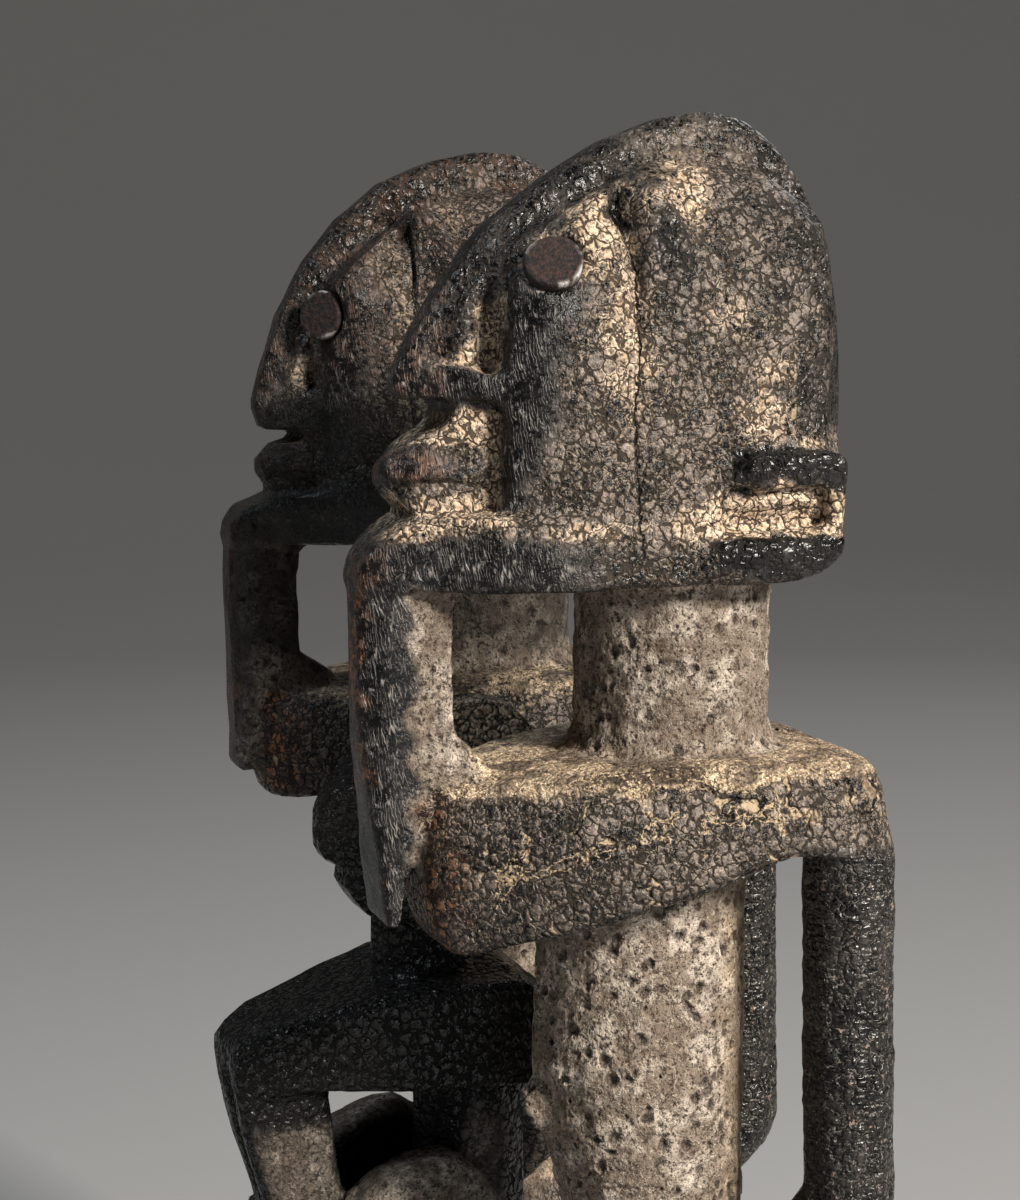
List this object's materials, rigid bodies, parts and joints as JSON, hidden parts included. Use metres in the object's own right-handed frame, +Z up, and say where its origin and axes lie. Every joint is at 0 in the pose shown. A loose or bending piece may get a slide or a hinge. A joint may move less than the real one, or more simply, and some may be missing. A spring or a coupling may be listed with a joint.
{
  "type": "carved wooden altar statue",
  "caption": "Carved wooden altar group: two tall bearded figures on stools and a small squatting figure in front, on one low plinth, with iron nail-head eyes.",
  "frame": {"origin": "the middle of the plinth's underside, on the surface that the statue stands on", "axes": "+Z up, -Y the way the figures face, +X towards the near tall figure's left hand"},
  "size_m": [0.222, 0.152, 0.3693],
  "materials": {
    "carved_wood": "aged hardwood with a crackled dark patina and pale dust in the hollows",
    "nail_iron": "rusted iron with a worn rim"
  },
  "bodies": {
    "root": {"carved_block": "carved_wood", "near_figure_left_eye": "nail_iron", "near_figure_right_eye": "nail_iron", "far_figure_left_eye": "nail_iron", "far_figure_right_eye": "nail_iron"}
  },
  "joints": []
}
